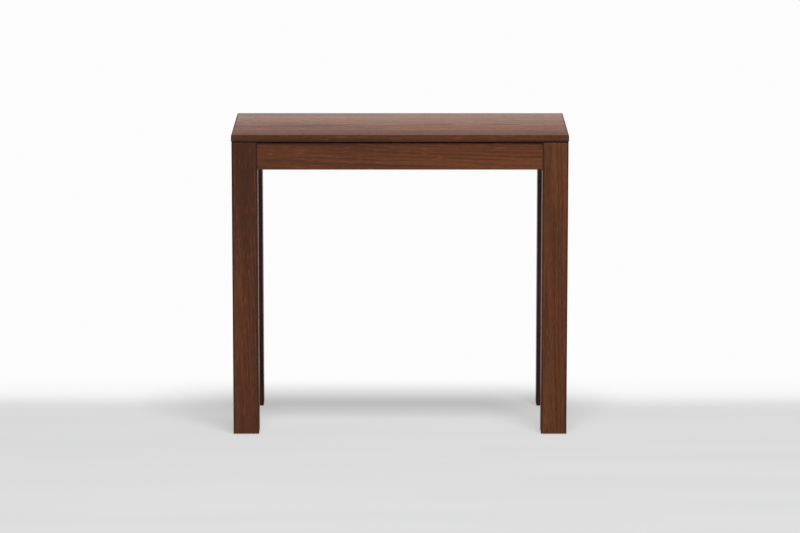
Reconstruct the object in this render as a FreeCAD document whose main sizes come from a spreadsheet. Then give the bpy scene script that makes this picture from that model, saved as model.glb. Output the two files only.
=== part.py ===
import FreeCAD, Part
import Sketcher
import math
import os
import re

# Extending console table, closed. The front half pulls away from the rear half on two telescopic guides.
# Millimetres, +Z up, origin on the floor under the middle of the top, front towards -Y.

sizes = [
    ("table_width", 850, "closed top, left to right"),
    ("table_depth", 400, "closed top, front to rear"),
    ("table_height", 770, "floor to upper face of the top"),
    ("top_thickness", 18, "half top"),
    ("split_gap", 0.4, "between the two half tops"),
    ("edging_thickness", 4, "strip round the outer sides of a half top"),
    ("edging_round", 3, "radius along the upper edges and corners of the edging"),
    ("edging_bevel", 2, "lower edges of the edging, over the seam"),
    ("top_overhang", 1, "edge of the top to the outer face of a leg"),
    ("leg_size", 65, "square leg"),
    ("leg_round", 3, "radius along the leg"),
    ("leg_top_bevel", 2, "upper end of the leg, under the seam"),
    ("bolt_flat", 12, "inner corner cut back where the bolt enters"),
    ("glide_diameter", 34, "glide under a leg"),
    ("glide_height", 2, "glide below the leg"),
    ("apron_height", 70, "all aprons"),
    ("apron_thickness", 22, "all aprons"),
    ("apron_reveal", 2, "apron face behind the leg face"),
    ("apron_round", 1.5, "radius along the apron's lower edges"),
    ("apron_bevel", 2, "along the apron's upper edges, under the seam"),
    ("plate_thickness", 2.5, "corner plate"),
    ("plate_height", 50, "corner plate"),
    ("plate_flange", 25, "flange of the corner plate along an apron"),
    ("plate_standoff", 6, "plate to the flat of the leg"),
    ("bolt_diameter", 8, "hanger bolt"),
    ("bolt_in_leg", 40, "hanger bolt, depth in the leg"),
    ("bolt_tail", 13, "hanger bolt past the plate"),
    ("nut_width", 13, "nut across flats"),
    ("nut_height", 6.5, "nut"),
    ("cleat_size", 20, "square cleat under the top"),
    ("cleat_gap", 16, "end cleat to the bracket beside it"),
    ("side_cleat_gap", 11.75, "side cleat to the split and to the corner plate"),
    ("fit_clearance", 0.05, "round a shank or stem in its hole"),
    ("hole_end_gap", 0.5, "past the end of a shank in a blind hole"),
    ("hole_lead", 1, "drill start before the surface"),
    ("rail_end_gap", 5, "guide end to the apron"),
    ("rail_top_gap", 0.3, "guide below the top"),
    ("rail_width", 12, "guide member without its tongue"),
    ("rail_height", 42, "guide member"),
    ("rail_gap", 0.6, "between neighbouring members"),
    ("rail_overlap", 80, "members still engaged when fully drawn out"),
    ("rail_lip", 2.5, "lips that hold the tongue"),
    ("rail_cavity", 5, "channel behind the lips"),
    ("cavity_height", 34, "channel behind the lips"),
    ("rail_side_gap", 0.4, "tongue head to the channel walls"),
    ("neck_height", 17, "neck of the tongue"),
    ("neck_gap", 0.5, "neck of the tongue to a lip"),
    ("flange_width", 16, "flange of a fixed member under the top"),
    ("flange_thickness", 3, "flange of a fixed member under the top"),
    ("pad_thickness", 2.2, "slide pad"),
    ("pad_play", 0.3, "slide pad to the surface that it runs on"),
    ("pad_side_gap", 0.3, "slide pad to the channel's side walls"),
    ("pad_inset", 2, "slide pad to the end of its member"),
    ("pad_spacing", 8, "meeting pads, apart when fully drawn out"),
    ("stop_length", 10, "stop block along the guide"),
    ("stop_height", 6, "stop block"),
    ("stop_recess", 2, "stop block let into the web"),
    ("stop_engage", 2.1, "stop block in the groove of the tongue"),
    ("stop_play", 0.4, "stop block to the ends and sides of the groove"),
    ("bracket_thickness", 2.5, "angle bracket"),
    ("bracket_height", 30, "angle bracket"),
    ("bracket_reach", 24, "angle bracket along the apron"),
    ("bracket_length", 40, "angle bracket along the guide"),
    ("bracket_gap", 4.5, "angle bracket to the corner plate"),
    ("bracket_drop", 24, "top to the middle of the bracket"),
    ("dowel_diameter", 10, "aligning dowel"),
    ("dowel_length", 40, "aligning dowel"),
    ("dowel_reach", 16, "dowel past the split"),
    ("dowel_play", 0.2, "dowel in its socket"),
    ("dowel_bevel", 1.5, "leading end of the dowel"),
    ("dowel_spacing", 300, "between neighbouring dowels"),
    ("hook_thickness", 2.5, "lock hook"),
    ("hook_width", 18, "lock hook"),
    ("hook_lip", 8, "end of the hook past its slot"),
    ("hook_play", 0.3, "hook below the top and above the screw head"),
    ("hook_bore_play", 0.1, "shoulder in the hook's bore"),
    ("hook_slot_play", 1.5, "post in the hook's slot"),
    ("hook_tab", 20, "finger tab past the pivot"),
    ("hook_tab_width", 12, "finger tab"),
    ("lock_reach", 40, "pivot to post"),
    ("lock_gap", 8, "resting hook to the guide's flange"),
    ("shoulder_diameter", 8, "shoulder screw"),
    ("shoulder_head_diameter", 13, "shoulder screw"),
    ("shoulder_head_height", 3, "shoulder screw"),
    ("lock_thread_diameter", 5, "shoulder screw"),
    ("lock_thread_length", 12, "shoulder screw"),
]

stage_count = 6
dowel_steps = (-1, 0, 1)

# Tests on the edges of a shape: places that count as one, and the degrees that a parallel edge may lean.
same_place = 0.01
lean_limit = 5
parallel = math.cos(math.radians(lean_limit))
# Share of a wall that a round or bevel may take.
wall_share = 0.9

doc = FreeCAD.newDocument("ExtendingConsoleTable")
sheet = doc.addObject("Spreadsheet::Sheet", "Sizes")
for row, (alias, value, note) in enumerate(sizes, 1):
    sheet.set(f"A{row}", note)
    sheet.set(f"B{row}", str(value))
    sheet.setAlias(f"B{row}", alias)
doc.recompute()

alias_pattern = re.compile(r"\b(" + "|".join(alias for alias, value, note in sizes) + r")\b")
up = FreeCAD.Vector(0, 0, 1)

# Places that several pieces share, worked out from the sizes.
top_under = "(table_height - top_thickness)"
leg_outer_x = "(table_width / 2 - top_overhang)"
leg_outer_y = "(table_depth / 2 - top_overhang)"
leg_inner_x = f"({leg_outer_x} - leg_size)"
leg_inner_y = f"({leg_outer_y} - leg_size)"
apron_inner_y = f"({leg_outer_y} - apron_reveal - apron_thickness)"
side_inner_x = f"({leg_outer_x} - apron_reveal - apron_thickness)"
apron_z = f"({top_under} - apron_height / 2)"
cleat_z = f"({top_under} - cleat_size / 2)"
corner_depth = "(leg_size - apron_reveal - apron_thickness)"
plate_front = "(plate_standoff - bolt_flat / sqrt(2))"
plate_bend = f"({corner_depth} + sqrt(2) * {plate_front})"
plate_end = f"({plate_bend} + plate_flange)"
bolt_seat = f"(({plate_front} + plate_thickness) / sqrt(2))"
bolt_grip = "(plate_thickness + plate_standoff + bolt_in_leg)"
side_cleat_space = f"({leg_inner_y} - {plate_end})"
rail_outer_x = f"({leg_inner_x} - {plate_end} - bracket_gap - bracket_reach)"
rail_pitch = "(rail_width + rail_gap)"
rail_inner_x = f"({rail_outer_x} - {stage_count} * {rail_pitch} - rail_width)"
rail_z = f"({top_under} - rail_top_gap - rail_height / 2)"
rail_length = f"(2 * ({apron_inner_y} - rail_end_gap))"
rail_travel = f"({rail_length} - rail_overlap)"
rail_web = "(rail_width - rail_lip - rail_cavity)"
neck_length = "(rail_gap + rail_lip + rail_side_gap)"
head_thickness = "(rail_cavity - 2 * rail_side_gap)"
head_height = "(cavity_height - 2 * pad_thickness - 2 * pad_play)"
groove_depth = "(stop_engage + rail_side_gap)"
pad_length = "((rail_overlap - pad_spacing) / 2 - pad_inset)"
pad_y = f"({rail_length} / 2 - pad_inset - {pad_length} / 2)"
end_cleat_half = f"({rail_inner_x} - bracket_reach - cleat_gap)"
hook_slot = "(shoulder_diameter + 2 * hook_slot_play)"
hook_end = f"(lock_reach + {hook_slot} / 2 + hook_lip)"
lock_x = f"({rail_inner_x} - flange_width - lock_gap - {hook_end})"
dowel_z = f"({top_under} + top_thickness / 2)"


def bound(text):
    return alias_pattern.sub(r"Sizes.\1", text)


def number(text):
    return float(sheet.evalExpression(bound(text)))


def signed(sign, text):
    return f"{sign} * ({text})"


def place(item, position, rotation=FreeCAD.Rotation()):
    item.Placement = FreeCAD.Placement(FreeCAD.Vector(), rotation)
    for axis, text in zip("xyz", position):
        item.setExpression(f"Placement.Base.{axis}", bound(text))
    return item


def turned(degrees):
    return FreeCAD.Rotation(up, degrees)


def flipped(sign_x, sign_y):
    # Half turn that carries a piece of the rear right corner, alike above and below, to another corner.
    if sign_x == sign_y:
        return turned(90 - 90 * sign_y)
    return FreeCAD.Rotation(FreeCAD.Vector(sign_x > 0, sign_y > 0, 0), 180)


def draw(body, plane, points):
    sketch = body.newObject("Sketcher::SketchObject", body.Name + "_outline")
    support = [item for item in body.Origin.OriginFeatures if item.Role == plane]
    sketch.AttachmentSupport = [(support[0], "")]
    sketch.MapMode = "FlatFace"
    corners = [FreeCAD.Vector(number(across), number(along), 0) for across, along in points]
    for start, end in zip(corners, corners[1:] + corners[:1]):
        sketch.addGeometry(Part.LineSegment(start, end), False)
    for index, (across, along) in enumerate(points):
        sketch.addConstraint(Sketcher.Constraint("Coincident", index, 2, (index + 1) % len(points), 1))
        for kind, text in (("DistanceX", across), ("DistanceY", along)):
            rule = sketch.addConstraint(Sketcher.Constraint(kind, -1, 1, index, 1, number(text)))
            sketch.setExpression(f"Constraints[{rule}]", bound(text))
    return sketch


def prism(name, plane, points, length, symmetric=False):
    body = doc.addObject("PartDesign::Body", name)
    pad = body.newObject("PartDesign::Pad", name + "_pad")
    pad.Profile = draw(body, plane, points)
    pad.SideType = "Symmetric" if symmetric else "One side"
    pad.setExpression("Length", bound(length))
    doc.recompute()
    return body


def turning(name, points):
    body = doc.addObject("PartDesign::Body", name)
    sketch = draw(body, "XZ_Plane", points)
    revolution = body.newObject("PartDesign::Revolution", name + "_turn")
    revolution.Profile = sketch
    revolution.ReferenceAxis = (sketch, ["V_Axis"])
    doc.recompute()
    return body


def soften(body, kind, size_name, size, chosen):
    # Fillet or chamfer on the edges whose middle point and direction pass the test.
    tip = body.Tip
    names = []
    for index, edge in enumerate(tip.Shape.Edges, 1):
        if edge.Degenerated:
            continue
        middle = edge.valueAt((edge.FirstParameter + edge.LastParameter) / 2)
        if chosen(middle, edge.tangentAt(edge.FirstParameter)):
            names.append(f"Edge{index}")
    feature = body.newObject("PartDesign::" + kind, body.Name + "_" + kind.lower())
    feature.Base = (tip, names)
    feature.setExpression(size_name, bound(size))
    doc.recompute()
    return body


def block(name, centre, size):
    box = doc.addObject("Part::Box", name)
    for side, text in zip(("Length", "Width", "Height"), size):
        box.setExpression(side, bound(text))
    return place(box, [f"{middle} - ({length}) / 2" for middle, length in zip(centre, size)])


def rod(name, position, direction, diameter, length):
    cylinder = doc.addObject("Part::Cylinder", name)
    cylinder.setExpression("Radius", bound(f"({diameter}) / 2"))
    cylinder.setExpression("Height", bound(length))
    return place(cylinder, position, FreeCAD.Rotation(up, FreeCAD.Vector(*direction)))


def group(name, members):
    compound = doc.addObject("Part::Compound", name)
    compound.Links = members
    return compound


def cut(name, base, tools):
    result = doc.addObject("Part::Cut", name)
    result.Base = base
    result.Tool = group(name + "_tools", tools)
    return result


def joined(name, members):
    result = doc.addObject("Part::MultiFuse", name)
    result.Shapes = members
    return result


def mirrored(name, source):
    mirror = doc.addObject("Part::Mirroring", name)
    mirror.Source = source
    mirror.Normal = FreeCAD.Vector(1, 0, 0)
    return mirror


def copy_of(seed, name, position, rotation):
    link = doc.addObject("App::Link", name)
    link.LinkedObject = seed
    return place(link, position, rotation)


def bolt_point(sign_x, sign_y, setback):
    # On the bolt axis of one leg, set back from the plate's inner face towards the middle of the table.
    inward = f"({bolt_seat} + ({setback}) / sqrt(2))"
    return (signed(sign_x, f"{leg_inner_x} - {inward}"), signed(sign_y, f"{leg_inner_y} - {inward}"), apron_z)


def bolt_drill(name, sign_x, sign_y):
    return rod(name + "_drill", bolt_point(sign_x, sign_y, "hole_lead"), (sign_x, sign_y, 0),
               "bolt_diameter + 2 * fit_clearance", f"{bolt_grip} + hole_lead + hole_end_gap")


def hanger_bolt(name, sign_x, sign_y):
    return rod(name, bolt_point(sign_x, sign_y, "bolt_tail"), (sign_x, sign_y, 0), "bolt_diameter",
               f"bolt_tail + {bolt_grip}")


def nut():
    corner = "nut_width / sqrt(3)"
    outline = [(f"{corner} * cos({60 * step} deg)", f"{corner} * sin({60 * step} deg)") for step in range(6)]
    blank = prism("nut_blank", "XY_Plane", outline, "nut_height")
    bore = rod("nut_bore", ("0", "0", "-hole_lead"), up, "bolt_diameter + 2 * fit_clearance",
               "nut_height + 2 * hole_lead")
    return cut("nut", blank, [bore])


def leg_nut(name, seed, sign_x, sign_y):
    facing = FreeCAD.Rotation(up, FreeCAD.Vector(sign_x, sign_y, 0))
    return copy_of(seed, name, bolt_point(sign_x, sign_y, "nut_height"), facing)


# Corner plate bent round the inner corner of a leg, drawn for the rear right leg.
def corner_plate(name, sign_x, sign_y):
    inner_bend = f"-{plate_bend} - plate_thickness * (sqrt(2) - 1)"
    inner_face = f"{corner_depth} - plate_thickness"
    blank = prism(name + "_blank", "XY_Plane", [
        (f"-{plate_end}", corner_depth),
        (f"-{plate_bend}", corner_depth),
        (corner_depth, f"-{plate_bend}"),
        (corner_depth, f"-{plate_end}"),
        (inner_face, f"-{plate_end}"),
        (inner_face, inner_bend),
        (inner_bend, inner_face),
        (f"-{plate_end}", inner_face),
    ], "plate_height", symmetric=True)
    corner = (signed(sign_x, leg_inner_x), signed(sign_y, leg_inner_y), apron_z)
    place(blank, corner, flipped(sign_x, sign_y))
    return cut(name, blank, [bolt_drill(name, sign_x, sign_y)])


# Angle bracket between the face of a fixed guide member and the apron behind it.
def angle_bracket(name, face, sign_x, sign_y):
    bracket = prism(name, "XY_Plane", [
        ("0", "0"),
        ("bracket_reach", "0"),
        ("bracket_reach", "-bracket_thickness"),
        ("bracket_thickness", "-bracket_thickness"),
        ("bracket_thickness", "-bracket_length"),
        ("0", "-bracket_length"),
    ], "bracket_height", symmetric=True)
    spot = (signed(sign_x, face), signed(sign_y, apron_inner_y), f"{top_under} - bracket_drop")
    return place(bracket, spot, flipped(sign_x * sign_y, sign_y))


def rectangle(across, along):
    half_across = f"({across}) / 2"
    half_along = f"({along}) / 2"
    return [(signed(a, half_across), signed(b, half_along)) for a, b in ((-1, -1), (1, -1), (1, 1), (-1, 1))]


def leg_centre(sign_x, sign_y):
    return signed(sign_x, f"{leg_outer_x} - leg_size / 2"), signed(sign_y, f"{leg_outer_y} - leg_size / 2")


def leg(name, sign_x, sign_y):
    length = f"{top_under} - glide_height"
    body = prism(name + "_blank", "XY_Plane", rectangle("leg_size", "leg_size"), length)
    soften(body, "Fillet", "Radius", "leg_round", lambda middle, along: abs(along.z) > parallel)
    upper = number(length) - same_place
    soften(body, "Chamfer", "Size", "leg_top_bevel", lambda middle, along: middle.z > upper)
    angle = math.degrees(math.atan2(-sign_y, -sign_x)) - 45
    across, along = leg_centre(sign_x, sign_y)
    place(body, (across, along, "glide_height"), turned(angle))
    half = "leg_size / 2"
    flat = prism(name + "_flat", "XY_Plane", [
        (f"{half} - bolt_flat - hole_lead", f"{half} + hole_lead"),
        (f"{half} + hole_lead", f"{half} - bolt_flat - hole_lead"),
        (f"{half} + hole_lead", f"{half} + hole_lead"),
    ], "apron_height + hole_lead")
    place(flat, (across, along, f"{top_under} - apron_height"), turned(angle))
    return cut(name, body, [flat, bolt_drill(name, sign_x, sign_y)])


# Apron along X round its own middle.
def apron(name, length):
    body = prism(name, "YZ_Plane", rectangle("apron_thickness", "apron_height"), length, symmetric=True)
    edge = number("apron_height / 2") - same_place

    def is_lower(middle, along):
        return middle.z < -edge and abs(along.x) > parallel

    def is_upper(middle, along):
        return middle.z > edge and abs(along.x) > parallel

    soften(body, "Fillet", "Radius", "apron_round", is_lower)
    return soften(body, "Chamfer", "Size", "apron_bevel", is_upper)


def half_top(name, sign_y):
    core_y = signed(sign_y, "(table_depth / 2 - edging_thickness + split_gap / 2) / 2")
    core = block(name + "_core", ("0", core_y, dowel_z),
                 ("table_width - 2 * edging_thickness", "table_depth / 2 - edging_thickness - split_gap / 2",
                  "top_thickness"))
    tools = []
    socket_width = "dowel_diameter + 2 * dowel_play" if sign_y > 0 else "dowel_diameter + 2 * fit_clearance"
    socket_depth = "dowel_reach + hole_end_gap" if sign_y > 0 else "dowel_length - dowel_reach"
    for index in dowel_steps:
        start = (signed(index, "dowel_spacing"), signed(-sign_y, "hole_lead"), dowel_z)
        tools.append(rod(f"{name}_socket_{index + 1}", start, (0, sign_y, 0), socket_width,
                         f"{socket_depth} + hole_lead"))
    for index, (across, along, level) in enumerate(lock_spots(sign_y)):
        tools.append(rod(f"{name}_lock_hole_{index}", (across, along, f"{level} - hole_lead"), up,
                         "lock_thread_diameter + 2 * fit_clearance",
                         "lock_thread_length + hole_lead + hole_end_gap"))
    return cut(name, core, tools)


def edging(name, sign_y):
    outer = "table_width / 2"
    inner = f"({outer} - edging_thickness)"
    rear = "table_depth / 2"
    split = "split_gap / 2"
    body = prism(name, "XY_Plane", [
        (f"-{outer}", split),
        (f"-{outer}", rear),
        (outer, rear),
        (outer, split),
        (inner, split),
        (inner, f"{rear} - edging_thickness"),
        (f"-{inner}", f"{rear} - edging_thickness"),
        (f"-{inner}", split),
    ], "top_thickness")
    limits = [number(text) - same_place for text in (outer, rear, "top_thickness")]
    wall = f"{wall_share} * edging_thickness"

    def is_outside(point):
        return abs(point.x) > limits[0] or point.y > limits[1]

    def is_upper_or_corner(middle, along):
        corner = abs(along.z) > parallel and middle.y > limits[1]
        return corner or middle.z > limits[2] and is_outside(middle)

    def is_lower(middle, along):
        return middle.z < same_place and is_outside(middle)

    soften(body, "Fillet", "Radius", f"min(edging_round; {wall})", is_upper_or_corner)
    soften(body, "Chamfer", "Size", f"min(edging_bevel; {wall})", is_lower)
    return place(body, ("0", "0", top_under), turned(90 - 90 * sign_y))


def dowel():
    edge = "dowel_diameter / 2"
    return turning("dowel", [
        ("0", "0"),
        (edge, "0"),
        (edge, "dowel_length - dowel_bevel"),
        (f"{edge} - dowel_bevel", "dowel_length"),
        ("0", "dowel_length"),
    ])


# One guide member on the right. The tongue points outwards, the channel inwards.
def rail(name, step):
    half = "rail_height / 2"
    inner = "-rail_width"
    lip = "rail_lip - rail_width"
    web = f"-{rail_web}"
    cavity = "cavity_height / 2"
    mouth = "neck_height / 2 + neck_gap"
    if step == stage_count:
        flange_end = "-rail_width - flange_width"
        under = f"{half} - flange_thickness"
        inside = [(flange_end, half), (flange_end, under), (inner, under), (inner, f"-({half})")]
    else:
        upper = [(inner, half), (inner, mouth), (lip, mouth), (lip, cavity), (web, cavity)]
        inside = upper + [(across, f"-({level})") for across, level in reversed(upper)]
    if step == 0:
        outside = [("0", f"-({half})"), ("0", f"{half} - flange_thickness"),
                   ("flange_width", f"{half} - flange_thickness"), ("flange_width", half)]
    else:
        neck = "neck_height / 2"
        head = f"{head_height} / 2"
        head_end = f"{neck_length} + {head_thickness}"
        upper = [("0", half), ("0", neck), (neck_length, neck), (neck_length, head), (head_end, head)]
        outside = [(across, f"-({level})") for across, level in upper] + upper[::-1]
    body = prism(name + "_profile", "XZ_Plane", inside + outside, rail_length, symmetric=True)
    place(body, (rail_x(step), "0", rail_z))
    return cut(name, body, rail_recesses(name, step))


def rail_x(step):
    return f"({rail_outer_x} - {step} * {rail_pitch})"


def rail_recesses(name, step):
    tools = []
    if step < stage_count:
        tools.append(stop_block(name + "_stop_recess", step, "fit_clearance"))
    if step > 0:
        middle = f"{rail_x(step)} + {neck_length} + {head_thickness} - {groove_depth} / 2 + hole_lead / 2"
        size = (f"{groove_depth} + hole_lead", f"{rail_travel} + stop_length + 2 * stop_play",
                "stop_height + 2 * stop_play")
        tools.append(block(name + "_groove", (middle, "0", rail_z), size))
    return tools


def stop_block(name, step, clearance="0"):
    reach = "(rail_side_gap + stop_engage)"
    middle = f"{rail_x(step)} - {rail_web} + (stop_recess - {reach}) / 2"
    size = (f"stop_recess + {reach}", f"stop_length + 2 * {clearance}", f"stop_height + 2 * {clearance}")
    return block(name, (middle, f"-{rail_travel} / 2", rail_z), size)


# Pads at the front of each channel and at the rear of each tongue, and the stop block of a channel.
def slide_inserts(name, step):
    pieces = []
    for sign, word in ((-1, "lower"), (1, "upper")):
        if step < stage_count:
            centre = (f"{rail_x(step)} - {rail_web} - rail_cavity / 2", f"-{pad_y}",
                      f"{rail_z} + {sign} * (cavity_height - pad_thickness) / 2")
            size = ("rail_cavity - 2 * pad_side_gap", pad_length, "pad_thickness")
            pieces.append(block(f"{name}_channel_{word}", centre, size))
        if step > 0:
            centre = (f"{rail_x(step)} + {neck_length} + {head_thickness} / 2", pad_y,
                      f"{rail_z} + {sign} * ({head_height} + pad_thickness) / 2")
            size = (head_thickness, pad_length, "pad_thickness")
            pieces.append(block(f"{name}_tongue_{word}", centre, size))
    if step < stage_count:
        pieces.append(stop_block(name + "_stop", step))
    return pieces


def rail_name(step, side):
    ends = {0: "fixed", stage_count: "front"}
    return f"rail_{side}_{ends.get(step, step)}"


def lock_spots(sign_y):
    # Pivots in the front half and posts in the rear half.
    return [(signed(sign_x, lock_x), signed(sign_y, "lock_reach / 2"), top_under) for sign_x in (-1, 1)]


def shoulder_screw():
    shoulder_end = "-(hook_thickness + 2 * hook_play)"
    return turning("shoulder_screw", [
        ("0", f"{shoulder_end} - shoulder_head_height"),
        ("shoulder_head_diameter / 2", f"{shoulder_end} - shoulder_head_height"),
        ("shoulder_head_diameter / 2", shoulder_end),
        ("shoulder_diameter / 2", shoulder_end),
        ("shoulder_diameter / 2", "0"),
        ("lock_thread_diameter / 2", "0"),
        ("lock_thread_diameter / 2", "lock_thread_length"),
        ("0", "lock_thread_length"),
    ])


# Lock hook on the right, pointing outwards at rest, open on the side that meets the rear post.
def lock_hook(name):
    level = "hook_thickness / 2"
    arm = block("hook_arm", (f"{hook_end} / 2", "0", level), (hook_end, "hook_width", "hook_thickness"))
    tab = block("hook_tab_blank", ("-hook_tab / 2", "0", level),
                ("hook_tab", "hook_tab_width", "hook_thickness"))
    boss = rod("hook_boss", ("0", "0", "0"), up, "hook_width", "hook_thickness")
    tab_end = rod("hook_tab_end", ("-hook_tab", "0", "0"), up, "hook_tab_width", "hook_thickness")
    depth = "hook_thickness + 2 * hole_lead"
    bore = rod("hook_bore", ("0", "0", "-hole_lead"), up, "shoulder_diameter + 2 * hook_bore_play", depth)
    seat = rod("hook_seat", ("lock_reach", "0", "-hole_lead"), up, hook_slot, depth)
    mouth = block("hook_mouth", ("lock_reach", "hook_width / 2", level), (hook_slot, "hook_width", depth))
    hook = cut(name, joined("hook_blank", [arm, tab, boss, tab_end]), [bore, seat, mouth])
    return place(hook, (lock_x, "-lock_reach / 2", f"{top_under} - hook_play - hook_thickness"))


nodes = {}


def keep(item):
    nodes[item.Label] = item
    return item


nut_seed = nut()
dowel_seed = dowel()
screw_seed = shoulder_screw()
sides = {"left": -1, "right": 1}
halves = {"rear": 1, "front": -1}

for half, sign_y in halves.items():
    keep(half_top(f"{half}_top", sign_y))
    keep(edging(f"{half}_top_edging", sign_y))
    long_apron = keep(apron(f"{half}_apron", f"2 * {leg_inner_x}"))
    place(long_apron, ("0", signed(sign_y, f"{apron_inner_y} + apron_thickness / 2"), apron_z))
    keep(block(f"{half}_cleat", ("0", signed(sign_y, f"{apron_inner_y} - cleat_size / 2"), cleat_z),
               (f"2 * {end_cleat_half}", "cleat_size", "cleat_size")))
    bracket_face = rail_outer_x if sign_y > 0 else rail_inner_x
    plates = []
    bolts = []
    nuts = []
    brackets = []
    side_cleats = []
    glides = []
    for side, sign_x in sides.items():
        corner = f"{half}_{side}"
        keep(leg(f"{half}_leg_{side}", sign_x, sign_y))
        side_apron = keep(apron(f"{half}_side_apron_{side}", f"{leg_inner_y} - split_gap / 2"))
        place(side_apron, (signed(sign_x, f"{side_inner_x} + apron_thickness / 2"),
                           signed(sign_y, f"({leg_inner_y} + split_gap / 2) / 2"), apron_z), turned(90))
        cleat_spot = (signed(sign_x, f"{side_inner_x} - cleat_size / 2"),
                      signed(sign_y, f"{side_cleat_space} / 2"), cleat_z)
        side_cleats.append(block(f"{corner}_cleat", cleat_spot,
                                 ("cleat_size", f"{side_cleat_space} - 2 * side_cleat_gap", "cleat_size")))
        plates.append(corner_plate(f"{corner}_plate", sign_x, sign_y))
        bolts.append(hanger_bolt(f"{corner}_bolt", sign_x, sign_y))
        nuts.append(leg_nut(f"{corner}_nut", nut_seed, sign_x, sign_y))
        brackets.append(angle_bracket(f"{corner}_bracket", bracket_face, sign_x, sign_y))
        glides.append(rod(f"{corner}_glide", (*leg_centre(sign_x, sign_y), "0"), up,
                          "glide_diameter", "glide_height"))
    keep(group(f"{half}_corner_plates", plates))
    keep(group(f"{half}_leg_bolts", bolts))
    keep(group(f"{half}_leg_nuts", nuts))
    keep(group(f"{half}_rail_brackets", brackets))
    keep(group(f"{half}_side_cleats", side_cleats))
    keep(group(f"{half}_glides", glides))
    lock_screws = []
    for index, spot in enumerate(lock_spots(sign_y)):
        lock_screws.append(copy_of(screw_seed, f"{half}_lock_screw_{index}", spot, turned(0)))
    keep(group(f"{half}_lock_screws", lock_screws))

dowels = []
backwards = FreeCAD.Rotation(up, FreeCAD.Vector(0, 1, 0))
for index in dowel_steps:
    start = (signed(index, "dowel_spacing"), "dowel_reach - dowel_length", dowel_z)
    dowels.append(copy_of(dowel_seed, f"dowel_{index + 1}", start, backwards))
keep(group("top_dowels", dowels))

end_inserts = {0: [], stage_count: []}
for step in range(stage_count + 1):
    name = rail_name(step, "right")
    member = keep(rail(name, step))
    keep(mirrored(rail_name(step, "left"), member))
    inserts = slide_inserts(name + "_insert", step)
    if step in end_inserts:
        end_inserts[step] = inserts + [mirrored(item.Name + "_left", item) for item in inserts]
    else:
        right_set = keep(group(f"slide_inserts_right_{step}", inserts))
        keep(mirrored(f"slide_inserts_left_{step}", right_set))
keep(group("rear_slide_inserts", end_inserts[0]))
keep(group("front_slide_inserts", end_inserts[stage_count]))

right_hook = keep(lock_hook("lock_hook_right"))
keep(mirrored("lock_hook_left", right_hook))

doc.recompute()

for item in doc.Objects:
    if "Invalid" in item.State or "Error" in item.State:
        raise RuntimeError(f"{item.Label} failed: {item.State}")
for name, item in nodes.items():
    if item.Shape.isNull() or not item.Shape.isValid():
        raise RuntimeError(f"{name} has no valid shape")

os.makedirs("parts", exist_ok=True)
for name, item in nodes.items():
    item.Shape.exportStep(f"parts/{name}.step")
print(len(nodes), "parts, travel", number(rail_travel) * stage_count, "mm")
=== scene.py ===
import math

import bpy
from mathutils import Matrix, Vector


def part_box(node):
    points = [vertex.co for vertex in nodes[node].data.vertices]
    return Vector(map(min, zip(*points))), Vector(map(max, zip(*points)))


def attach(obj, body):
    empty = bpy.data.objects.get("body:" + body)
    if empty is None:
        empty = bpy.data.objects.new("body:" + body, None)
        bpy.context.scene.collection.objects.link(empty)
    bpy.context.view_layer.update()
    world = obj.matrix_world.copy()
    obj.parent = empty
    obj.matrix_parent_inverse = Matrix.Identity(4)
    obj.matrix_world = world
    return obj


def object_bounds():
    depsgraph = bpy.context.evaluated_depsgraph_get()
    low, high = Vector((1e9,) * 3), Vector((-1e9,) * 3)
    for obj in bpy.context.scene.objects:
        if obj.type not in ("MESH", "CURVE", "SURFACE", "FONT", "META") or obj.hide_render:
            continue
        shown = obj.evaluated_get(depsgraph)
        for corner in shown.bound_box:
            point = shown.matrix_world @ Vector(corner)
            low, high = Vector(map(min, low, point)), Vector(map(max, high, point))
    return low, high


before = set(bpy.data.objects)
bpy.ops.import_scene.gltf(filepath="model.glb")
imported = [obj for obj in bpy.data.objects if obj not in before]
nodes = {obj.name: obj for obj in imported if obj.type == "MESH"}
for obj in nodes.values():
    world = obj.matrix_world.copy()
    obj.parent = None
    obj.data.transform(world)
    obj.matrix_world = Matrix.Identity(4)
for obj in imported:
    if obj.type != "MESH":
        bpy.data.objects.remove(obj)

cadLow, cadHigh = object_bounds()
scene = bpy.context.scene
scene.view_settings.view_transform = "Standard"
print("frame loaded:", len(nodes), "nodes")


# camera, at the picture's eye height
cameraSpec = {
    "place": (0.0, -9.764, 2.180),
    "tiltDown": 10.34,  # degrees
    "lens": 173.1,  # mm
    "sight": 200,  # m
}
cameraData = bpy.data.cameras.new("tableCamera")
cameraData.lens = cameraSpec["lens"]
cameraData.clip_end = cameraSpec["sight"]
camera = bpy.data.objects.new("tableCamera", cameraData)
camera.location = cameraSpec["place"]
camera.rotation_euler = (math.radians(90 - cameraSpec["tiltDown"]), 0, 0)
scene.collection.objects.link(camera)
scene.camera = camera
print("camera set")


# helpers for node trees
vectorKind, colourKind, floatKind = "NodeSocketVector", "NodeSocketColor", "NodeSocketFloat"
black = (0, 0, 0)


def addNode(tree, kind, **settings):
    node = tree.nodes.new(kind)
    for name, value in settings.items():
        setattr(node, name, value)
    return node


def feed(tree, target, source):
    # a socket is linked, a plain value is set, and a colour of three parts is opaque
    if isinstance(source, bpy.types.NodeSocket):
        tree.links.new(source, target)
    elif target.type == "RGBA":
        target.default_value = (*source, 1)
    else:
        target.default_value = source


def calculate(tree, operation, first, second=0.0, clamp=False):
    node = addNode(tree, "ShaderNodeMath", operation=operation, use_clamp=clamp)
    feed(tree, node.inputs[0], first)
    feed(tree, node.inputs[1], second)
    return node.outputs[0]


def plus(tree, first, second):
    return calculate(tree, "ADD", first, second)


def minus(tree, first, second):
    return calculate(tree, "SUBTRACT", first, second)


def times(tree, first, second):
    return calculate(tree, "MULTIPLY", first, second)


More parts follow.
